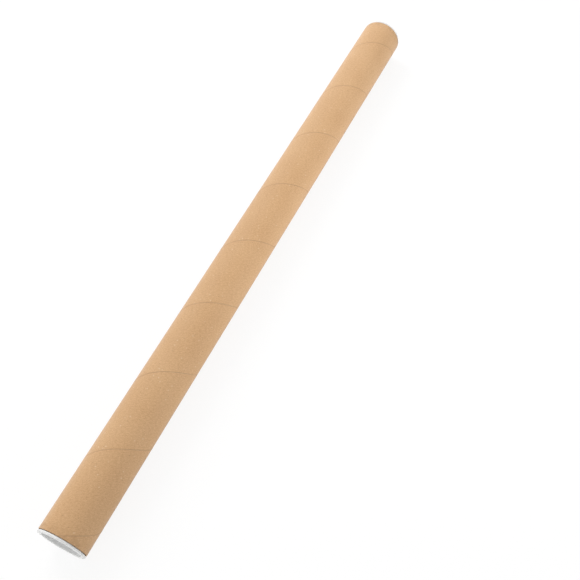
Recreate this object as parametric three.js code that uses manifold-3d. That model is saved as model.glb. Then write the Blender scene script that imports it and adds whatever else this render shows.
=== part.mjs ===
// Kraft shipping tube: a spirally wound paperboard tube of 1 1/2 in bore and 24 in length,
// closed at both ends by white push-in plugs. It lies on its side.
// Millimetres, +Z up. The tube runs along X, and the origin is on the floor under its middle.

import * as THREE from 'three';
import { mergeVertices } from 'three/addons/utils/BufferGeometryUtils.js';
import Module from 'manifold-3d';

// Paperboard tube
const bore = 38.1; // inside diameter, 1 1/2 in
const wall = 1.5; // all plies together
const tubeLength = 609.6; // 24 in, cut end to cut end
const cutBevel = 0.3; // burnished edge left by the cutting knife

// Outer ply, a strip of kraft paper wound as a right-hand spiral
const plyWidth = 62.3; // strip, measured square to its edges
const plyGap = 0.6; // butt joint between one turn and the next
const plyThickness = 0.35; // depth of that joint
const seamStart = 70.9; // from the near end to the seam, along the top of the tube

// Push-in plug, one moulding
const flangeInset = 0.15; // how far the flange's rim stays inside the tube's outside
const flangeThickness = 2.0;
const flangeRound = 0.7; // rounding of the flange's outer edge
const seatGap = 0.3; // flange to the tube's cut end
const plugDepth = 15.0; // from the flange's seat to the plug's inner end
const plugClearance = 0.7; // plug wall to bore, on the radius
const plugTaper = 0.4; // how much the plug narrows towards its inner end, on the radius
const plugLead = 1.2; // bevel that leads the plug into the bore
const beadClearance = 0.25; // crest of a sealing bead to bore, on the radius
const beadCount = 3;
const beadPitch = 3.6;
const beadWidth = 1.2;
const firstBead = 2.6; // from the flange's seat to the first bead's crest
const skirt = 1.3; // plug wall
const plugFloor = 1.2; // closed inner end
const mouthRound = 0.6; // edge where the flange rolls into the recess
const floorFillet = 1.5; // recess wall into its floor

const facets = 48; // round the axis; each turned piece has the same ones, so that gaps stay even
const arcSteps = 4; // along each small rounding

const outerRadius = bore / 2 + wall;
const facetAngle = (2 * Math.PI) / facets;
const axisHeight = outerRadius * Math.cos(facetAngle / 2); // the tube rests on one facet

const kraft = new THREE.MeshStandardMaterial({ color: 0xd0a57a, roughness: 0.85, metalness: 0 });
const whitePlastic = new THREE.MeshStandardMaterial({ color: 0xf2f2f0, roughness: 0.4, metalness: 0 });

const wasm = await Module();
wasm.setup();

// A closed geometry as a solid that can be cut.
function toSolid(geometry) {
  const bare = new THREE.BufferGeometry();
  bare.setAttribute('position', geometry.getAttribute('position'));
  bare.setIndex(geometry.index);
  const merged = mergeVertices(bare, 1e-4);
  return new wasm.Manifold(new wasm.Mesh({
    numProp: 3,
    vertProperties: merged.attributes.position.array,
    triVerts: new Uint32Array(merged.index.array),
  }));
}

function toGeometry(solid) {
  const mesh = solid.getMesh();
  const geometry = new THREE.BufferGeometry();
  geometry.setAttribute('position', new THREE.BufferAttribute(mesh.vertProperties, 3));
  geometry.setIndex(new THREE.BufferAttribute(mesh.triVerts, 1));
  geometry.computeVertexNormals();
  return geometry;
}

// A profile of (radius, height) points turned about Y, with a flat facet at the top and the bottom.
function turned(profile) {
  const points = profile.map(([radius, height]) => new THREE.Vector2(radius, height));
  return new THREE.LatheGeometry(points, facets, facetAngle / 2);
}

// Points of a rounding, between two angles in degrees.
function rounding(centreRadius, centreHeight, radius, fromDegrees, toDegrees) {
  return Array.from({ length: arcSteps + 1 }, (_, i) => {
    const angle = THREE.MathUtils.degToRad(THREE.MathUtils.lerp(fromDegrees, toDegrees, i / arcSteps));
    return [centreRadius + radius * Math.cos(angle), centreHeight + radius * Math.sin(angle)];
  });
}

// The line that a ply's edge follows: a helix about Y whose corners fall on the tube's own corners.
class PlySeam extends THREE.Curve {
  constructor(pitch, firstCorner, lastCorner) {
    super();
    this.pitch = pitch;
    this.firstCorner = firstCorner;
    this.lastCorner = lastCorner;
  }

  angleAt(t) {
    return facetAngle * (THREE.MathUtils.lerp(this.firstCorner, this.lastCorner, t) + 0.5);
  }

  getPoint(t, target = new THREE.Vector3()) {
    const angle = this.angleAt(t);
    const height = seamStart + (this.pitch * angle) / (2 * Math.PI);
    return target.set(outerRadius * Math.sin(angle), height, outerRadius * Math.cos(angle));
  }

  // The section stays square to the tube's surface all the way along.
  computeFrenetFrames(segments) {
    const frames = { tangents: [], normals: [], binormals: [] };
    for (let i = 0; i <= segments; i += 1) {
      const angle = this.angleAt(i / segments);
      const rise = this.pitch / (2 * Math.PI * outerRadius);
      const tangent = new THREE.Vector3(Math.cos(angle), rise, -Math.sin(angle)).normalize();
      const outward = new THREE.Vector3(Math.sin(angle), 0, Math.cos(angle));
      frames.tangents.push(tangent);
      frames.normals.push(outward);
      frames.binormals.push(new THREE.Vector3().crossVectors(tangent, outward));
    }
    return frames;
  }
}

// The joint between one turn of the outer ply and the next, as the channel that it leaves.
function seamChannel() {
  const circumference = 2 * Math.PI * outerRadius;
  const windingAngle = Math.asin((plyWidth + plyGap) / circumference);
  const pitch = circumference * Math.tan(windingAngle);
  const corner = (height) => Math.round(((height - seamStart) / pitch) * facets);
  const first = corner(-pitch / 4);
  const last = corner(tubeLength + pitch / 4);
  const above = plyThickness; // the channel's section stands as far out of the wall as it goes in
  const section = new THREE.Shape([
    new THREE.Vector2(-plyThickness, -plyGap / 2),
    new THREE.Vector2(above, -plyGap / 2),
    new THREE.Vector2(above, plyGap / 2),
    new THREE.Vector2(-plyThickness, plyGap / 2),
  ]);
  return new THREE.ExtrudeGeometry(section, {
    steps: last - first,
    bevelEnabled: false,
    extrudePath: new PlySeam(pitch, first, last),
  });
}

// Height runs from the near end, 0, to the far end.
function tubeGeometry() {
  const inner = bore / 2;
  const profile = [
    [inner, cutBevel],
    [inner + cutBevel, 0],
    [outerRadius - cutBevel, 0],
    [outerRadius, cutBevel],
    [outerRadius, tubeLength - cutBevel],
    [outerRadius - cutBevel, tubeLength],
    [inner + cutBevel, tubeLength],
    [inner, tubeLength - cutBevel],
    [inner, cutBevel],
  ];
  return toGeometry(toSolid(turned(profile)).subtract(toSolid(seamChannel())));
}

// Height 0 is the flange's seat. The flange is above it, the plug is below.
function plugGeometry() {
  const rim = outerRadius - flangeInset;
  const root = bore / 2 - plugClearance;
  const tip = root - plugTaper;
  const wallAt = (depth) => THREE.MathUtils.lerp(root, tip, depth / plugDepth);
  const crest = bore / 2 - beadClearance;
  const floorHeight = plugFloor - plugDepth;
  const mouth = root - skirt;
  const recessFoot = tip - skirt;

  const beads = Array.from({ length: beadCount }, (_, i) => {
    const depth = firstBead + i * beadPitch;
    return [
      [wallAt(depth + beadWidth / 2), -depth - beadWidth / 2],
      [crest, -depth - beadWidth / 6],
      [crest, -depth + beadWidth / 6],
      [wallAt(depth - beadWidth / 2), -depth + beadWidth / 2],
    ];
  }).reverse().flat();

  const profile = [
    [0, -plugDepth],
    [tip - plugLead / 2, -plugDepth],
    [wallAt(plugDepth - plugLead), plugLead - plugDepth],
    ...beads,
    [root, 0],
    ...rounding(rim - flangeRound, flangeRound, flangeRound, -90, 0),
    ...rounding(rim - flangeRound, flangeThickness - flangeRound, flangeRound, 0, 90),
    ...rounding(mouth + mouthRound, flangeThickness - mouthRound, mouthRound, 90, 180),
    ...rounding(recessFoot - floorFillet, floorHeight + floorFillet, floorFillet, 0, -90),
    [0, floorHeight],
  ];
  return toGeometry(toSolid(turned(profile)));
}

const tube = new THREE.Mesh(tubeGeometry(), kraft);
tube.name = 'paperboard_tube';

const plugShape = plugGeometry();

const farPlug = new THREE.Mesh(plugShape, whitePlastic);
farPlug.name = 'far_end_plug';
farPlug.position.y = tubeLength + seatGap;

const nearPlug = new THREE.Mesh(plugShape, whitePlastic);
nearPlug.name = 'near_end_plug';
nearPlug.position.y = -seatGap;
nearPlug.rotation.z = Math.PI;

// Everything above stands along Y. It is laid along X, with the far end towards +X.
const shippingTube = new THREE.Group();
shippingTube.add(tube, nearPlug, farPlug);
shippingTube.rotation.z = -Math.PI / 2;
shippingTube.position.set(-tubeLength / 2, 0, axisHeight);

const part = new THREE.Group();
part.add(shippingTube);

export default part;
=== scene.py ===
"""Looks of a kraft shipping tube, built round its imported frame.

Metres, +Z up. The tube lies on the floor along X, with its near end at -X.
"""

import logging
import math
from collections.abc import Callable
from dataclasses import dataclass, field
from enum import Enum

import bmesh
import bpy
from mathutils import Matrix, Vector

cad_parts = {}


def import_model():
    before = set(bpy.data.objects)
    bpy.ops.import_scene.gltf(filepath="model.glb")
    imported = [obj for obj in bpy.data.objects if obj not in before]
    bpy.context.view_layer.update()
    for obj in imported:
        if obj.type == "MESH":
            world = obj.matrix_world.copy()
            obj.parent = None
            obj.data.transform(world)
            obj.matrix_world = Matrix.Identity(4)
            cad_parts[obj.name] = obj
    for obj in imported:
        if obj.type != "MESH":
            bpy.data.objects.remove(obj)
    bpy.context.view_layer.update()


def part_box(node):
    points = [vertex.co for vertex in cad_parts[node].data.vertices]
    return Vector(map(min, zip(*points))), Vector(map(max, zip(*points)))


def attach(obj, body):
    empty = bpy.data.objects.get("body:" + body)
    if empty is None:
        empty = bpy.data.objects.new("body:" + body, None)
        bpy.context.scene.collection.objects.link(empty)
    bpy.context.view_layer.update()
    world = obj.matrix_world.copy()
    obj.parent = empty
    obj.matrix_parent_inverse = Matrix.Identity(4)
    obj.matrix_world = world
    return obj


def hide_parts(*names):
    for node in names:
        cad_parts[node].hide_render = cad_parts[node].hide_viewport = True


LOG = logging.getLogger("shipping_tube")
MM = 0.001
MERGE_DISTANCE = 0.002 * MM
SHARP_ANGLE = math.radians(38)

Colour = tuple[float, float, float]


def srgb(red: int, green: int, blue: int) -> Colour:
    """Turns a colour as a screen shows it, 0 to 255, into the linear one that shaders use."""
    return tuple(
        c / 255 / 12.92 if c / 255 <= 0.04045 else ((c / 255 + 0.055) / 1.055) ** 2.4
        for c in (red, green, blue)
    )


class TubeEnd(Enum):
    """The two ends of the tube, each with its plug's names and the way that it faces along X."""

    NEAR = ("near_end_plug", "near_plug", -1)
    FAR = ("far_end_plug", "far_plug", 1)

    @property
    def node(self) -> str:
        """The plug's node in the frame."""
        return self.value[0]

    @property
    def body(self) -> str:
        """The body that the plug rides on."""
        return self.value[1]

    @property
    def outward(self) -> int:
        """The sign of X outwards from the tube at this end."""
        return self.value[2]

    @property
    def piece(self) -> str:
        """The name of the plug's finished piece."""
        return self.node.replace("_end_plug", "_push_in_plug")


class BoardFace(Enum):
    """The tube's faces, each with the number of its finish in the mesh."""

    OUTER = 0
    BORE = 1
    CUT = 2


class NodeGraph:
    """Adds and joins the nodes of one material or node group."""

    def __init__(self, tree: bpy.types.NodeTree) -> None:
        """Keeps the tree that nodes go into."""
        self.tree = tree

    def add(self, kind: str, inputs: dict | None = None, **settings: object) -> bpy.types.Node:
        """Adds one node.

        Args:
            kind: the node's type, such as ShaderNodeTexNoise.
            inputs: a value or an output socket for each input, by its name or index.
            settings: properties of the node itself.

        Returns:
            The new node.
        """
        node = self.tree.nodes.new(kind)
        for name, value in settings.items():
            setattr(node, name, value)
        return self.fill(node, inputs or {})

    def fill(self, node: bpy.types.Node, inputs: dict) -> bpy.types.Node:
        """Sets the inputs of a node.

        Args:
            node: the node.
            inputs: a value or an output socket for each input, by its name or index.

        Returns:
            The same node.
        """
        for name, value in inputs.items():
            if isinstance(value, bpy.types.NodeSocket):
                self.tree.links.new(value, node.inputs[name])
            else:
                node.inputs[name].default_value = value
        return node

    def math(self, operation: str, *values: object, clamp: bool = False) -> bpy.types.NodeSocket:
        """Adds a Math node.

        Args:
            operation: the node's operation, such as MULTIPLY.
            values: numbers or sockets for its inputs, in order.
            clamp: whether the result is kept from 0 to 1.

        Returns:
            The result's socket.
        """
        inputs = dict(enumerate(values))
        return self.add("ShaderNodeMath", inputs, operation=operation, use_clamp=clamp).outputs[0]

    def step(self, value: object, start: object, end: object) -> bpy.types.NodeSocket:
        """Adds a smooth step.

        Args:
            value: the number or socket that the step reads.
            start: where the result is 0.
            end: where the result is 1.

        Returns:
            The result's socket, from 0 to 1.
        """
        inputs = {"Value": value, "From Min": start, "From Max": end}
        node = self.add("ShaderNodeMapRange", inputs, interpolation_type="SMOOTHSTEP")
        return node.outputs["Result"]

    def mix(self, share: object, first: object, second: object) -> bpy.types.NodeSocket:
        """Adds a mix of two colours.

        Args:
            share: how much of the second shows, a number or a socket.
            first: a linear colour or a socket.
            second: a linear colour or a socket.

        Returns:
            The mixed colour's socket.
        """
        colours = [c if isinstance(c, bpy.types.NodeSocket) else (*c, 1.0) for c in (first, second)]
        inputs = {0: share, 6: colours[0], 7: colours[1]}
        return self.add("ShaderNodeMix", inputs, data_type="RGBA").outputs[2]

    def group(self, tree: bpy.types.NodeTree, inputs: dict) -> bpy.types.Node:
        """Places a node group.

        Args:
            tree: the group.
            inputs: a value or a socket for each of its named inputs.

        Returns:
            The group's node.
        """
        node = self.tree.nodes.new("ShaderNodeGroup")
        node.node_tree = tree
        return self.fill(node, inputs)


class SurfaceEffects:
    """The shader node groups that the finishes share."""

    def __init__(self) -> None:
        """Builds each group once."""
        self.fibres = self._fibres()
        self.specks = self._specks()
        self.wear = self._wear()

    @staticmethod
    def _start(
        name: str, inputs: dict[str, str], output: str
    ) -> tuple[NodeGraph, dict, Callable[[bpy.types.NodeSocket], None]]:
        """Starts a group.

        Args:
            name: the group's name.
            inputs: the socket type of each named input.
            output: the name of its one number output.

        Returns:
            The group's graph, its input sockets by name, and a function that sets the output.
        """
        tree = bpy.data.node_groups.new(name, "ShaderNodeTree")
        for label, kind in inputs.items():
            tree.interface.new_socket(label, in_out="INPUT", socket_type=kind)
        tree.interface.new_socket(output, in_out="OUTPUT", socket_type="NodeSocketFloat")
        graph = NodeGraph(tree)
        entry = tree.nodes.new("NodeGroupInput")
        leave = tree.nodes.new("NodeGroupOutput")

        def put_out(socket: bpy.types.NodeSocket) -> None:
            """Joins a socket to the group's output."""
            tree.links.new(socket, leave.inputs[output])

        return graph, {label: entry.outputs[label] for label in inputs}, put_out

    def _fibres(self) -> bpy.types.NodeTree:
        """Makes streaks of paper fibre, longer along the strip than across it.

        Returns:
            The group, whose output is 0 to 1.
        """
        kinds = {
            "Vector": "NodeSocketVector",
            "Along": "NodeSocketFloat",
            "Across": "NodeSocketFloat",
        }
        graph, entry, put_out = self._start("paper_fibres", kinds, "Fibre")
        parts = graph.add("ShaderNodeSeparateXYZ", {"Vector": entry["Vector"]})
        along = graph.math("MULTIPLY", parts.outputs["X"], entry["Along"])
        across = graph.math("MULTIPLY", parts.outputs["Y"], entry["Across"])
        depth = graph.math("MULTIPLY", parts.outputs["Z"], entry["Across"])
        place = graph.add("ShaderNodeCombineXYZ", {"X": along, "Y": across, "Z": depth})
        noise = graph.add(
            "ShaderNodeTexNoise",
            {
                "Vector": place.outputs["Vector"],
                "Scale": 1.0,
                "Detail": 4.0,
                "Roughness": 0.62,
                "Distortion": 0.1,
            },
        )
        put_out(graph.step(noise.outputs["Fac"], 0.28, 0.72))
        return graph.tree

    def _specks(self) -> bpy.types.NodeTree:
        """Makes small scattered specks, as recycled fibre leaves in kraft paper.

        Returns:
            The group, whose output is 1 in a speck.
        """
        kinds = {
            "Vector": "NodeSocketVector",
            "Scale": "NodeSocketFloat",
            "Radius": "NodeSocketFloat",
            "Share": "NodeSocketFloat",
        }
        graph, entry, put_out = self._start("paper_specks", kinds, "Speck")
        cells = graph.add(
            "ShaderNodeTexVoronoi",
            {"Vector": entry["Vector"], "Scale": entry["Scale"], "Randomness": 1.0},
        )
        core = graph.math("MULTIPLY", entry["Radius"], 0.45)
        spot = graph.step(cells.outputs["Distance"], entry["Radius"], core)
        draw = graph.add("ShaderNodeSeparateColor", {"Color": cells.outputs["Color"]})
        chosen = graph.math("LESS_THAN", draw.outputs["Red"], entry["Share"])
        put_out(graph.math("MULTIPLY", spot, chosen))
        return graph.tree

    def _wear(self) -> bpy.types.NodeTree:
        """Makes patchy handling wear that grows towards both ends of the tube.

        Returns:
            The group, whose output is 0 to 1.
        """
        kinds = {
            "Vector": "NodeSocketVector",
            "Start": "NodeSocketFloat",
            "End": "NodeSocketFloat",
            "Scale": "NodeSocketFloat",
        }
        graph, entry, put_out = self._start("end_wear", kinds, "Wear")
        parts = graph.add("ShaderNodeSeparateXYZ", {"Vector": entry["Vector"]})
        reach = graph.math("ABSOLUTE", parts.outputs["X"])
        rise = graph.step(reach, entry["Start"], entry["End"])
        patches = graph.add(
            "ShaderNodeTexNoise",
            {"Vector": entry["Vector"], "Scale": entry["Scale"], "Detail": 3.0, "Roughness": 0.6},
        )
        patchy = graph.step(patches.outputs["Fac"], 0.35, 0.65)
        put_out(graph.math("MULTIPLY", rise, patchy))
        return graph.tree


def new_material(name: str) -> tuple[bpy.types.Material, NodeGraph, bpy.types.Node]:
    """Starts a material.

    Args:
        name: the material's name.

    Returns:
        The material, its graph and its Principled shader.
    """
    material = bpy.data.materials.new(name)
    material.use_nodes = True
    shader = material.node_tree.nodes["Principled BSDF"]
    return material, NodeGraph(material.node_tree), shader


@dataclass(frozen=True)
class Grain:
    """How fine a fibre pattern is, in fibres to the metre."""

    along: float
    across: float

    def lay(
        self, graph: NodeGraph, effects: SurfaceEffects, place: bpy.types.NodeSocket
    ) -> bpy.types.NodeSocket:
        """Adds the pattern to a material.

        Args:
            graph: the material's graph.
            effects: the shared node groups.
            place: the coordinates that the pattern follows.

        Returns:
            The pattern's socket, 0 to 1.
        """
        inputs = {"Vector": place, "Along": self.along, "Across": self.across}
        return graph.group(effects.fibres, inputs).outputs["Fibre"]


@dataclass(frozen=True)
class Specks:
    """One kind of speck in the paper."""

    colour: Colour
    scale: float  # cells to the metre
    radius: float  # of a speck, as a share of its cell
    share: float  # of the cells that hold a speck
    strength: float

    def lay(
        self,
        graph: NodeGraph,
        effects: SurfaceEffects,
        place: bpy.types.NodeSocket,
        ground: bpy.types.NodeSocket,
    ) -> bpy.types.NodeSocket:
        """Scatters the specks over a colour.

        Args:
            graph: the material's graph.
            effects: the shared node groups.
            place: the coordinates that the specks follow.
            ground: the colour between the specks.

        Returns:
            The speckled colour's socket.
        """
        inputs = {
            "Vector": place,
            "Scale": self.scale,
            "Radius": self.radius,
            "Share": self.share,
        }
        speck = graph.group(effects.specks, inputs).outputs["Speck"]
        return graph.mix(graph.math("MULTIPLY", speck, self.strength), ground, self.colour)


@dataclass(frozen=True)
class KraftFace:
    """Machine-finished kraft paper, as on the outer ply and, duller, in the bore."""

    name: str
    shade: Colour
    light: Colour
    streaks: Grain = Grain(along=420.0, across=1100.0)
    hairs: Grain = Grain(along=1000.0, across=2800.0)
    streak_share: float = 0.3
    hair_share: float = 0.5
    cloud_share: float = 0.25
    cloud_scale: float = 34.0
    dark_specks: Specks = Specks(srgb(122, 88, 58), 560.0, 0.24, 0.06, 0.42)
    pale_specks: Specks = Specks(srgb(232, 206, 172), 420.0, 0.3, 0.06, 0.6)
    # Painted shade: the seam's groove is darkened towards this colour, as strongly and as far out
    # from the seam as the next two fields say.
    seam: Colour = srgb(163, 132, 102)
    seam_shade_strength: float = 0.35
    seam_shade_reach: float = 0.6 * MM
    soil: Colour = srgb(122, 88, 58)
    soil_strength: float = 0.2
    soil_scale: float = 260.0
    soiled_length: float = 9 * MM
    roughness: float = 0.62
    roughness_spread: float = 0.12
    fibre_height: float = 0.03 * MM
    relief: float = 0.25
    specular_level: float = 0.32
    sheen: float = 0.35
    sheen_roughness: float = 0.4

    def build(
        self, effects: SurfaceEffects, ply_pitch: float, half_length: float
    ) -> bpy.types.Material:
        """Makes the material.

        Args:
            effects: the shared node groups.
            ply_pitch: one ply and its gap, measured square to the seam.
            half_length: from the middle of the tube to its end.

        Returns:
            The material.
        """
        material, graph, shader = new_material(self.name)
        winding = graph.add("ShaderNodeUVMap", uv_map=WoundTube.WINDING_MAP).outputs["UV"]
        place = graph.add("ShaderNodeTexCoord").outputs["Object"]
        streaks = self.streaks.lay(graph, effects, winding)
        hairs = self.hairs.lay(graph, effects, winding)
        clouds = graph.add(
            "ShaderNodeTexNoise",
            {"Vector": place, "Scale": self.cloud_scale, "Detail": 2.0, "Roughness": 0.5},
        ).outputs["Fac"]
        tone = graph.math("MULTIPLY", hairs, self.hair_share)
        tone = graph.math("MULTIPLY_ADD", streaks, self.streak_share, tone)
        tone = graph.math("MULTIPLY_ADD", clouds, self.cloud_share, tone, clamp=True)
        colour = graph.mix(tone, self.shade, self.light)
        colour = self.dark_specks.lay(graph, effects, place, colour)
        colour = self.pale_specks.lay(graph, effects, place, colour)

        # Painted shade: the colour darkens towards the seam, standing in for the shade that falls
        # in its groove.
        across = graph.add("ShaderNodeSeparateXYZ", {"Vector": winding}).outputs["Y"]
        from_seam = graph.math("MINIMUM", across, graph.math("SUBTRACT", ply_pitch, across))
        painted_seam_shade = graph.step(from_seam, self.seam_shade_reach, 0.2 * self.seam_shade_reach)
        colour = graph.mix(
            graph.math("MULTIPLY", painted_seam_shade, self.seam_shade_strength), colour, self.seam
        )

        soiled = graph.group(
            effects.wear,
            {
                "Vector": place,
                "Start": half_length - self.soiled_length,
                "End": half_length,
                "Scale": self.soil_scale,
            },
        ).outputs["Wear"]
        colour = graph.mix(graph.math("MULTIPLY", soiled, self.soil_strength), colour, self.soil)

        height = graph.math("MULTIPLY_ADD", streaks, 0.5, hairs)
        bump = graph.add(
            "ShaderNodeBump",
            {"Strength": self.relief, "Distance": self.fibre_height, "Height": height},
        )
        graph.fill(
            shader,
            {
                "Base Color": colour,
                "Roughness": graph.math(
                    "MULTIPLY_ADD", hairs, self.roughness_spread, self.roughness
                ),
                "Normal": bump.outputs["Normal"],
                "Specular IOR Level": self.specular_level,
                "Sheen Weight": self.sheen,
                "Sheen Roughness": self.sheen_roughness,
            },
        )
        return material


@dataclass(frozen=True)
class CutBoard:
    """The sawn end of the board, where the plies show as fine rings."""

    name: str = "cut_board"
    board: Colour = srgb(186, 148, 106)
    glue_line: Colour = srgb(128, 95, 64)
    line_strength: float = 0.6
    plies: int = 4
    fuzz: Grain = Grain(along=900.0, across=900.0)
    fuzz_strength: float = 0.25
    fuzz_height: float = 0.08 * MM
    relief: float = 0.5
    roughness: float = 0.9
    specular_level: float = 0.2

    def build(
        self, effects: SurfaceEffects, bore_radius: float, wall: float, height: float
    ) -> bpy.types.Material:
        """Makes the material.

        Args:
            effects: the shared node groups.
            bore_radius: inside radius of the tube.
            wall: thickness of all plies.
            height: of the tube's axis over the floor.

        Returns:
            The material.
        """
        material, graph, shader = new_material(self.name)
        place = graph.add("ShaderNodeTexCoord").outputs["Object"]
        centred = graph.add(
            "ShaderNodeMapping", {"Vector": place, "Location": (0.0, 0.0, -height)}
        ).outputs["Vector"]
        parts = graph.add("ShaderNodeSeparateXYZ", {"Vector": centred})
        sideways = graph.math("MULTIPLY", parts.outputs["Y"], parts.outputs["Y"])
        squared = graph.math("MULTIPLY_ADD", parts.outputs["Z"], parts.outputs["Z"], sideways)
        depth = graph.math("SUBTRACT", graph.math("SQRT", squared), bore_radius)
        ply = graph.math("FRACT", graph.math("MULTIPLY", depth, self.plies / wall))
        from_line = graph.math("MINIMUM", ply, graph.math("SUBTRACT", 1.0, ply))
        line = graph.step(from_line, 0.16, 0.04)
        fuzz = self.fuzz.lay(graph, effects, place)
        colour = graph.mix(
            graph.math("MULTIPLY", line, self.line_strength), self.board, self.glue_line
        )
        colour = graph.mix(
            graph.math("MULTIPLY", fuzz, self.fuzz_strength), colour, self.glue_line
        )
        bump = graph.add(
            "ShaderNodeBump",
            {"Strength": self.relief, "Distance": self.fuzz_height, "Height": fuzz},
        )
        graph.fill(
            shader,
            {
                "Base Color": colour,
                "Roughness": self.roughness,
                "Normal": bump.outputs["Normal"],
                "Specular IOR Level": self.specular_level,
            },
        )
        return material


@dataclass(frozen=True)
class MouldedPlastic:
    """Satin white polyethylene, as moulded."""

    name: str = "white_plastic"
    white: Colour = (0.85, 0.853, 0.847)
    scuff: Colour = (0.72, 0.71, 0.69)
    scuff_strength: float = 0.22
    scuff_scale: float = 700.0
    scuffed_length: float = 2.4 * MM
    roughness: float = 0.36
    roughness_spread: float = 0.18
    mould_grain: Grain = Grain(along=1500.0, across=1500.0)
    grain_height: float = 0.03 * MM
    relief: float = 0.12
    translucence: float = 0.35
    light_reach: float = 2 * MM

    def build(self, effects: SurfaceEffects, half_length: float) -> bpy.types.Material:
        """Makes the material.

        Args:
            effects: the shared node groups.
            half_length: from the middle of the tube to its end.

        Returns:
            The material.
        """
        material, graph, shader = new_material(self.name)
        place = graph.add("ShaderNodeTexCoord").outputs["Object"]
        scuffed = graph.group(
            effects.wear,
            {
                "Vector": place,
                "Start": half_length,
                "End": half_length + self.scuffed_length,
                "Scale": self.scuff_scale,
            },
        ).outputs["Wear"]
        bump = graph.add(
            "ShaderNodeBump",
            {
                "Strength": self.relief,
                "Distance": self.grain_height,
                "Height": self.mould_grain.lay(graph, effects, place),
            },
        )
        graph.fill(
            shader,
            {
                "Base Color": graph.mix(
                    graph.math("MULTIPLY", scuffed, self.scuff_strength), self.white, self.scuff
                ),
                "Roughness": graph.math(
                    "MULTIPLY_ADD", scuffed, self.roughness_spread, self.roughness
                ),
                "Normal": bump.outputs["Normal"],
                "Subsurface Weight": self.translucence,
                "Subsurface Radius": (1.0, 1.0, 1.0),
                "Subsurface Scale": self.light_reach,
            },
        )
        return material


@dataclass(frozen=True)
class Envelope:
    """Where the frame says that the tube is."""

    near_x: float
    far_x: float
    radius: float
    height: float

    @classmethod
    def from_frame(cls) -> "Envelope":
        """Reads the tube's box from the frame."""
        low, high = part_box("paperboard_tube")
        return cls(low.x, high.x, (high.z - low.z) / 2, (high.z + low.z) / 2)

    @property
    def to_axis(self) -> Matrix:
        """The space in which a scale keeps the tube's axis where it is."""
        return Matrix.Translation((0, 0, -self.height))

    def radius_of(self, point: Vector) -> float:
        """How far a point is from the tube's axis."""
        return math.hypot(point.y, point.z - self.height)


def spin_profile(
    bm: bmesh.types.BMesh,
    points: list[tuple[float, float]],
    height: float,
    turns: int,
    steps: int,
    advance: float = 0.0,
) -> list[bmesh.types.BMFace]:
    """Turns a profile about the tube's axis, or winds it along the axis.

    Args:
        bm: the mesh that the faces go into.
        points: the profile, as (x, radius).
        height: of the axis over the floor.
        turns: how many full turns the profile makes.
        steps: how many steps one turn has.
        advance: how far the profile moves along X in one turn.

    Returns:
        The new faces, with their seam and poles closed.
    """
    before = set(bm.faces)
    verts = [bm.verts.new((x, 0, height + radius)) for x, radius in points]
    edges = [bm.edges.new(pair) for pair in zip(verts, verts[1:])]
    bmesh.ops.spin(
        bm,
        geom=verts + edges,
        cent=(0, 0, height),
        axis=(1, 0, 0),
        dvec=(advance / steps, 0, 0),
        angle=math.tau,
        steps=steps,
        use_merge=not advance,
    )
    turn_faces = [f for f in bm.faces if f not in before]
    one_turn = list({item for f in turn_faces for item in (*f.verts, *f.edges, f)})
    for turn in range(1, turns):
        copied = bmesh.ops.duplicate(bm, geom=one_turn)["geom"]
        moved = [item for item in copied if isinstance(item, bmesh.types.BMVert)]
        bmesh.ops.translate(bm, vec=(turn * advance, 0, 0), verts=moved)
    wound_verts = {v for f in bm.faces if f not in before for v in f.verts}
    bmesh.ops.remove_doubles(bm, verts=list(wound_verts), dist=MERGE_DISTANCE)
    return [f for f in bm.faces if f not in before]


def finish_mesh(
    bm: bmesh.types.BMesh, name: str, materials: list[bpy.types.Material]
) -> bpy.types.Object:
    """Makes a finished piece of a closed mesh.

    Args:
        bm: the mesh, which is freed.
        name: the piece's name.
        materials: its finishes, in the order of the faces' material numbers.

    Returns:
        The piece, in the scene.
    """
    bmesh.ops.recalc_face_normals(bm, faces=bm.faces)
    for face in bm.faces:
        face.smooth = True
    for edge in bm.edges:
        edge.smooth = edge.calc_face_angle(math.pi) < SHARP_ANGLE
    mesh = bpy.data.meshes.new(name)
    bm.to_mesh(mesh)
    bm.free()
    for material in materials:
        mesh.materials.append(material)
    piece = bpy.data.objects.new(name, mesh)
    bpy.context.scene.collection.objects.link(piece)
    LOG.info("%s: %d faces", name, len(mesh.polygons))
    return piece


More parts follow.
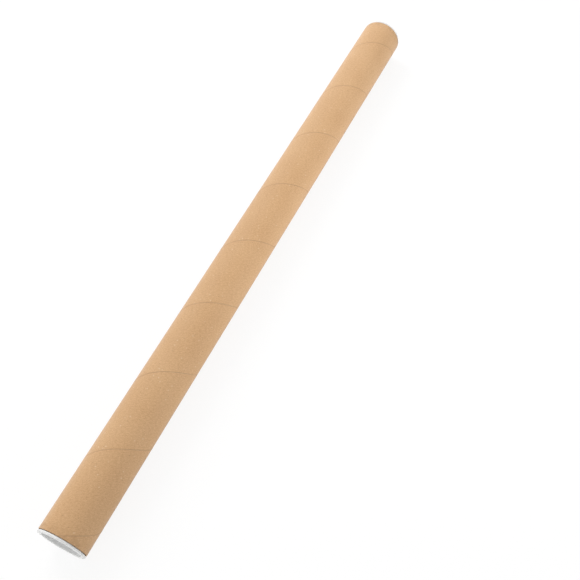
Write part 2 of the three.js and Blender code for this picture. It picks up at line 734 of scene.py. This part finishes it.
@dataclass
class WoundTube:
    """The paperboard tube: a wall whose outer and inner plies are wound as right-hand spirals."""

    WINDING_MAP = "winding"

    envelope: Envelope
    bore: float = 38.1 * MM
    wall: float = 1.5 * MM
    ply_width: float = 62.45 * MM
    ply_gap: float = 0.45 * MM
    seam_start: float = 70.9 * MM  # from the near end, along the top
    seam_depth: float = 0.11 * MM
    lip: float = 0.05 * MM  # how far a ply stands proud beside its seam
    lip_reach: float = 1.0 * MM
    edge_round: float = 0.08 * MM
    cut_round: float = 0.3 * MM
    cut_round_steps: int = 3
    inner_seam_shift: float = 0.42  # of a turn, from the outer seam
    steps: int = 128  # in one turn

    @property
    def ply_pitch(self) -> float:
        """One ply and its gap, measured square to the seam."""
        return self.ply_width + self.ply_gap

    @property
    def winding_angle(self) -> float:
        """Between the seam and a ring round the tube."""
        return math.asin(self.ply_pitch / (math.tau * (self.bore / 2 + self.wall)))

    @property
    def pitch(self) -> float:
        """How far along the tube the seam gets in one turn."""
        return self.ply_pitch / math.cos(self.winding_angle)

    @property
    def bore_radius(self) -> float:
        """Inside radius of the round wall that stands in the frame's facets."""
        return self.envelope.radius - self.wall

    def build(self, effects: SurfaceEffects) -> bpy.types.Object:
        """Models and dresses the tube.

        Args:
            effects: the shared node groups.

        Returns:
            The finished piece.
        """
        bm = bmesh.new()
        self._wind(bm, self.envelope.radius, 1, 0.0)
        outer_faces = set(bm.faces)
        self._wind(bm, self.bore_radius, -1, self.inner_seam_shift)
        for face in bm.faces:
            side = BoardFace.OUTER if face in outer_faces else BoardFace.BORE
            face.material_index = side.value
        for end in TubeEnd:
            self._close_end(bm, end)
        self._lay_winding_map(bm)
        half_length = (self.envelope.far_x - self.envelope.near_x) / 2
        outer = KraftFace("kraft_outer", shade=srgb(187, 139, 91), light=srgb(232, 193, 148))
        inner = KraftFace("kraft_bore", shade=srgb(166, 130, 94), light=srgb(190, 156, 118))
        materials = [
            outer.build(effects, self.ply_pitch, half_length),
            inner.build(effects, self.ply_pitch, half_length),
            CutBoard().build(effects, self.bore_radius, self.wall, self.envelope.height),
        ]
        return finish_mesh(bm, "wound_tube", materials)

    def _wind(self, bm: bmesh.types.BMesh, radius: float, side: int, shift: float) -> None:
        """Winds one face of the wall, with its butt joint as a groove, and cuts it to length.

        Args:
            bm: the mesh that the faces go into.
            radius: of the face.
            side: 1 for the outside of the wall, -1 for the bore.
            shift: how far the seam is moved, as a share of one turn.
        """
        half_gap = self.ply_gap / 2 / math.cos(self.winding_angle)
        start = self.envelope.near_x + self.seam_start - (2 + shift) * self.pitch
        face = radius - side * self.lip
        groove = radius - side * self.seam_depth
        ply_start = half_gap + self.edge_round
        half_profile = [
            (0.0, groove),
            (half_gap, groove),
            (half_gap + 0.3 * self.edge_round, radius - side * self.edge_round),
            (ply_start, radius),
            (ply_start + 0.5 * self.lip_reach, (radius + face) / 2),
            (ply_start + self.lip_reach, face),
            (0.25 * self.pitch, face),
        ]
        rise = half_profile + [(0.5 * self.pitch, face)]
        fall = [(self.pitch - x, r) for x, r in reversed(half_profile)]
        points = [(start + x, r) for x, r in rise + fall]
        turns = 1 + math.ceil((self.envelope.far_x - start) / self.pitch)
        faces = spin_profile(bm, points, self.envelope.height, turns, self.steps, self.pitch)
        for end in TubeEnd:
            faces = self._cut(bm, faces, end)

    def _cut(
        self, bm: bmesh.types.BMesh, faces: list[bmesh.types.BMFace], end: TubeEnd
    ) -> list[bmesh.types.BMFace]:
        """Cuts one face of the wall off just short of the tube's end.

        Args:
            bm: the mesh.
            faces: the face of the wall.
            end: the end to cut.

        Returns:
            The faces that are left.
        """
        others = set(bm.faces) - set(faces)
        plane = self._end_x(end) - end.outward * self.cut_round
        geometry = {item for f in faces for item in (*f.verts, *f.edges, f)}
        bmesh.ops.bisect_plane(
            bm,
            geom=list(geometry),
            dist=MERGE_DISTANCE / 10,
            plane_co=(plane, 0, 0),
            plane_no=(end.outward, 0, 0),
            clear_outer=True,
        )
        return [f for f in bm.faces if f not in others]

    def _end_x(self, end: TubeEnd) -> float:
        """Where the tube ends along X."""
        return self.envelope.near_x if end is TubeEnd.NEAR else self.envelope.far_x

    def _close_end(self, bm: bmesh.types.BMesh, end: TubeEnd) -> None:
        """Rounds both edges of a cut end and joins them with the end's face.

        Args:
            bm: the mesh, whose two faces are open at this end.
            end: the end to close.
        """
        open_edges = [
            e for e in bm.edges if e.is_boundary and e.verts[0].co.x * end.outward > 0
        ]
        middle = self.bore_radius + self.wall / 2
        rims = []
        for side in (1, -1):
            rim = [
                e for e in open_edges
                if (self.envelope.radius_of(e.verts[0].co) - middle) * side > 0
            ]
            rims += self._round_rim(bm, rim, side, end)
        filled = bmesh.ops.triangle_fill(
            bm, use_beauty=True, edges=rims, normal=(end.outward, 0, 0)
        )["geom"]
        for item in filled:
            if isinstance(item, bmesh.types.BMFace):
                item.material_index = BoardFace.CUT.value

    def _round_rim(
        self, bm: bmesh.types.BMesh, rim: list[bmesh.types.BMEdge], side: int, end: TubeEnd
    ) -> list[bmesh.types.BMEdge]:
        """Extends an open rim round a quarter circle to the tube's very end.

        Args:
            bm: the mesh.
            rim: the open edges.
            side: 1 for the outside of the wall, -1 for the bore.
            end: the end that the rim is at.

        Returns:
            The new open edges.
        """
        radius = self.envelope.radius if side > 0 else self.bore_radius
        board_face = BoardFace.OUTER if side > 0 else BoardFace.BORE
        for step in range(self.cut_round_steps):
            angles = [math.pi / 2 * (step + i) / self.cut_round_steps for i in (0, 1)]
            along = [self.cut_round * math.sin(a) for a in angles]
            radii = [radius - side * self.cut_round * (1 - math.cos(a)) for a in angles]
            grown = bmesh.ops.extrude_edge_only(bm, edges=rim)["geom"]
            verts = [g for g in grown if isinstance(g, bmesh.types.BMVert)]
            scale = radii[1] / radii[0]
            bmesh.ops.translate(bm, vec=(end.outward * (along[1] - along[0]), 0, 0), verts=verts)
            bmesh.ops.scale(bm, vec=(1, scale, scale), space=self.envelope.to_axis, verts=verts)
            for item in grown:
                if isinstance(item, bmesh.types.BMFace):
                    item.material_index = board_face.value
            rim = [g for g in grown if isinstance(g, bmesh.types.BMEdge) and g.is_boundary]
        return rim

    def _lay_winding_map(self, bm: bmesh.types.BMesh) -> None:
        """Gives each face its place on the unwound strip: metres along it, and metres across it.

        Args:
            bm: the closed mesh.
        """
        layer = bm.loops.layers.uv.new(self.WINDING_MAP)
        cosine, sine = math.cos(self.winding_angle), math.sin(self.winding_angle)
        radius = self.bore / 2 + self.wall
        for face in bm.faces:
            in_bore = face.material_index == BoardFace.BORE.value
            shift = self.inner_seam_shift if in_bore else 0.0
            seam = self.envelope.near_x + self.seam_start - shift * self.pitch
            centre = face.calc_center_median()
            middle = math.atan2(-centre.y, centre.z - self.envelope.height)
            turn = math.floor((centre.x - seam) / self.pitch - middle / math.tau)
            for loop in face.loops:
                point = loop.vert.co
                angle = math.atan2(-point.y, point.z - self.envelope.height)
                angle += math.tau * round((middle - angle) / math.tau)
                rise = point.x - seam - self.pitch * (angle / math.tau + turn)
                travel = radius * (angle + math.tau * turn) / cosine
                loop[layer].uv = (travel + rise * sine, rise * cosine)


@dataclass
class EndPlug:
    """One push-in plug: flange, beaded plug wall and recess, turned as one profile."""

    envelope: Envelope
    end: TubeEnd
    bore: float = 38.1 * MM
    flange_thickness: float = 2.0 * MM
    flange_round: float = 0.85 * MM
    seat_round: float = 0.95 * MM
    plug_depth: float = 15.0 * MM
    plug_clearance: float = 0.75 * MM  # to the bore, on the radius
    plug_taper: float = 0.4 * MM
    plug_lead: float = 1.2 * MM
    tip_round: float = 0.25 * MM
    lead_round: float = 0.4 * MM
    root_round: float = 0.15 * MM
    bead_clearance: float = 0.3 * MM  # to the bore, on the radius
    bead_count: int = 3
    bead_pitch: float = 3.6 * MM
    bead_width: float = 1.2 * MM
    first_bead: float = 2.6 * MM
    bead_round: float = 0.1 * MM
    skirt: float = 1.3 * MM
    floor: float = 1.2 * MM
    mouth_round: float = 0.6 * MM
    floor_fillet: float = 1.5 * MM
    gate_radius: float = 1.4 * MM
    gate_depth: float = 0.25 * MM
    gate_round: float = 0.1 * MM
    steps: int = 144
    small_round: float = 0.5 * MM  # up to here a rounding has fewer segments
    small_segments: int = 3
    large_segments: int = 6
    rim: float = field(init=False)
    face_x: float = field(init=False)
    seat_x: float = field(init=False)

    def __post_init__(self) -> None:
        """Reads the flange's rim and its outer face from the frame."""
        low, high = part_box(self.end.node)
        self.rim = (high.z - low.z) / 2
        self.face_x = low.x if self.end is TubeEnd.NEAR else high.x
        self.seat_x = self.face_x - self.end.outward * self.flange_thickness

    def _wall_at(self, depth: float) -> float:
        """Radius of the plug wall at a depth behind the flange."""
        root = self.bore / 2 - self.plug_clearance
        return root - self.plug_taper * depth / self.plug_depth

    def _corners(self) -> list[tuple[float, float, float]]:
        """The profile's corners.

        Returns:
            Each corner as (distance outwards from the seat, radius, rounding), from the inner
            end's middle round the outside to the recess floor's middle.
        """
        crest = self.bore / 2 - self.bead_clearance
        tip = self._wall_at(self.plug_depth)
        mouth = self._wall_at(0) - self.skirt
        foot = tip - self.skirt
        floor = self.floor - self.plug_depth
        lead = self.plug_depth - self.plug_lead
        corners = [
            (-self.plug_depth, 0.0, 0.0),
            (-self.plug_depth, tip - self.plug_lead / 2, self.tip_round),
            (-lead, self._wall_at(lead), self.lead_round),
        ]
        for bead in reversed(range(self.bead_count)):
            depth = self.first_bead + bead * self.bead_pitch
            foot_reach, crest_reach = self.bead_width / 2, self.bead_width / 6
            corners += [
                (-depth - foot_reach, self._wall_at(depth + foot_reach), self.bead_round),
                (-depth - crest_reach, crest, self.bead_round),
                (-depth + crest_reach, crest, self.bead_round),
                (-depth + foot_reach, self._wall_at(depth - foot_reach), self.bead_round),
            ]
        corners += [
            (0.0, self._wall_at(0), self.root_round),
            (0.0, self.rim, self.seat_round),
            (self.flange_thickness, self.rim, self.flange_round),
            (self.flange_thickness, mouth, self.mouth_round),
            (floor, foot, self.floor_fillet),
            (floor, self.gate_radius, self.gate_round),
            (floor - self.gate_depth, self.gate_radius - self.gate_depth, self.gate_round),
            (floor - self.gate_depth, 0.0, 0.0),
        ]
        return corners

    def build(self, plastic: bpy.types.Material) -> bpy.types.Object:
        """Models and dresses the plug.

        Args:
            plastic: its finish.

        Returns:
            The finished piece.
        """
        bm = bmesh.new()
        corners = [
            (self.seat_x + self.end.outward * along, radius, rounding)
            for along, radius, rounding in self._corners()
        ]
        points = [(x, radius) for x, radius, _ in corners]
        spin_profile(bm, points, self.envelope.height, 1, self.steps)
        bmesh.ops.recalc_face_normals(bm, faces=bm.faces)
        for x, radius, rounding in corners:
            if rounding:
                self._round_ring(bm, x, radius, rounding)
        return finish_mesh(bm, self.end.piece, [plastic])

    def _round_ring(
        self, bm: bmesh.types.BMesh, x: float, radius: float, rounding: float
    ) -> None:
        """Rounds one ring of edges.

        Args:
            bm: the turned mesh.
            x: where the ring is along the tube.
            radius: of the ring.
            rounding: how far the rounding reaches from the ring.
        """
        tolerance = 0.01 * MM
        ring = [
            e for e in bm.edges
            if all(
                abs(v.co.x - x) < tolerance
                and abs(self.envelope.radius_of(v.co) - radius) < tolerance
                for v in e.verts
            )
        ]
        small = rounding <= self.small_round
        bmesh.ops.bevel(
            bm,
            geom=ring,
            offset=rounding,
            affect="EDGES",
            segments=self.small_segments if small else self.large_segments,
            profile=0.5,
            material=-1,
            clamp_overlap=True,
        )


@dataclass(frozen=True)
class Lamp:
    """One soft square lamp, aimed at the tube's axis."""

    name: str
    place: tuple[float, float, float]
    aim: float  # from -1 at the near end to 1 at the far end
    size: float  # side of the square
    power: float  # watts
    spread: float = 180.0  # full angle of the beam, in degrees

    def hang(self, envelope: Envelope) -> None:
        """Hangs the lamp.

        Args:
            envelope: where the tube is.
        """
        data = bpy.data.lights.new(self.name, "AREA")
        data.size = self.size
        data.energy = self.power
        data.spread = math.radians(self.spread)
        lamp = bpy.data.objects.new(self.name, data)
        lamp.location = self.place
        target = Vector((self.aim * envelope.far_x, 0, envelope.height))
        lamp.rotation_euler = (target - lamp.location).to_track_quat("-Z", "Y").to_euler()
        bpy.context.scene.collection.objects.link(lamp)


@dataclass
class Studio:
    """The pale floor, the soft lamps and the camera."""

    LAMPS = (
        Lamp("key_lamp", (0.75, 1.23, 1.2), aim=0.0, size=1.0, power=20.3),
        Lamp("far_lamp", (1.2, 0.42, 1.2), aim=0.0, size=1.0, power=6.0),
        Lamp("side_lamp", (0.1, -1.0, 0.22), aim=0.3, size=0.5, power=0.72, spread=56.0),
        Lamp("near_lamp", (-1.35, 0.12, 0.22), aim=-1.0, size=0.6, power=4.6),
    )

    envelope: Envelope
    floor_size: float = 12.0
    floor_drop: float = 0.05 * MM
    floor_bounce: float = 0.88  # how much light the floor gives back to the tube
    floor_shown: float = 0.14  # how strongly its shadows show
    floor_glow: float = 0.88  # how white it shows near the tube
    floor_fade_start: float = 0.7  # from here outwards it turns into plain white
    floor_fade_end: float = 1.8
    sky: float = 0.4
    lens: float = 48.5
    camera_from_near_end: tuple[float, float, float] = (-61.2 * MM, -215.1 * MM, 582.4 * MM)
    camera_forward: tuple[float, float, float] = (0.48003925, 0.23391176, -0.84548661)

    def build(self) -> None:
        """Sets up the whole studio."""
        self._floor()
        self._sky()
        for lamp in self.LAMPS:
            lamp.hang(self.envelope)
        self._camera()

    @staticmethod
    def _seen(graph: NodeGraph) -> bpy.types.NodeSocket:
        """Adds a switch that is 1 for camera, glossy and transmission rays.

        Args:
            graph: where the switch goes.

        Returns:
            The switch's socket.
        """
        path = graph.add("ShaderNodeLightPath")
        either = graph.math("MAXIMUM", path.outputs["Is Camera Ray"], path.outputs["Is Glossy Ray"])
        return graph.math("MAXIMUM", either, path.outputs["Is Transmission Ray"])

    def _floor(self) -> None:
        """Lays the floor, which shows as near white and still takes the tube's shadow."""
        bm = bmesh.new()
        bmesh.ops.create_grid(bm, x_segments=1, y_segments=1, size=self.floor_size / 2)
        bmesh.ops.translate(bm, vec=(0, 0, -self.floor_drop), verts=bm.verts)
        mesh = bpy.data.meshes.new("floor")
        bm.to_mesh(mesh)
        bm.free()
        material = bpy.data.materials.new("pale_floor")
        material.use_nodes = True
        material.node_tree.nodes.clear()
        graph = NodeGraph(material.node_tree)
        bounce = graph.add("ShaderNodeBsdfDiffuse", {"Color": (*[self.floor_bounce] * 3, 1)})
        shaded = graph.add("ShaderNodeBsdfDiffuse", {"Color": (*[self.floor_shown] * 3, 1)})
        place = graph.add("ShaderNodeTexCoord").outputs["Object"]
        reach = graph.add("ShaderNodeVectorMath", {0: place}, operation="LENGTH").outputs["Value"]
        far = graph.step(reach, self.floor_fade_start, self.floor_fade_end)
        strength = graph.math("MULTIPLY_ADD", far, 1 - self.floor_glow, self.floor_glow)
        glow = graph.add("ShaderNodeEmission", {"Strength": strength})
        shown = graph.add("ShaderNodeAddShader", {0: shaded.outputs[0], 1: glow.outputs[0]})
        inputs = {0: self._seen(graph), 1: bounce.outputs[0], 2: shown.outputs[0]}
        mixed = graph.add("ShaderNodeMixShader", inputs)
        graph.add("ShaderNodeOutputMaterial", {"Surface": mixed.outputs[0]})
        mesh.materials.append(material)
        floor = bpy.data.objects.new("floor", mesh)
        bpy.context.scene.collection.objects.link(floor)

    def _sky(self) -> None:
        """Makes the world white to look at, and plain soft light for everything else."""
        world = bpy.data.worlds.new("studio")
        world.use_nodes = True
        graph = NodeGraph(world.node_tree)
        rise = graph.math("MULTIPLY_ADD", self._seen(graph), 1 - self.sky, self.sky)
        sky = world.node_tree.nodes["Background"]
        sky.inputs["Color"].default_value = (1, 1, 1, 1)
        world.node_tree.links.new(rise, sky.inputs["Strength"])
        bpy.context.scene.world = world

    def _camera(self) -> None:
        """Places the camera as the photograph's was, level from side to side."""
        data = bpy.data.cameras.new("camera")
        data.lens = self.lens
        camera = bpy.data.objects.new("camera", data)
        near_end = Vector((self.envelope.near_x, 0, self.envelope.height))
        camera.location = near_end + Vector(self.camera_from_near_end)
        camera.rotation_euler = Vector(self.camera_forward).to_track_quat("-Z", "Y").to_euler()
        bpy.context.scene.collection.objects.link(camera)
        bpy.context.scene.camera = camera


def main() -> None:
    """Builds the tube, its plugs and the studio."""
    logging.basicConfig(level=logging.INFO, format="%(name)s: %(message)s")
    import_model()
    envelope = Envelope.from_frame()
    effects = SurfaceEffects()

    tube = WoundTube(envelope).build(effects)
    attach(tube, "tube")
    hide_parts("paperboard_tube")

    plastic = MouldedPlastic().build(effects, envelope.far_x)
    for end in TubeEnd:
        plug = EndPlug(envelope, end).build(plastic)
        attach(plug, end.body)
        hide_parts(end.node)

    Studio(envelope).build()
    bpy.context.scene.view_settings.view_transform = "Standard"


if __name__ == "__main__":
    main()
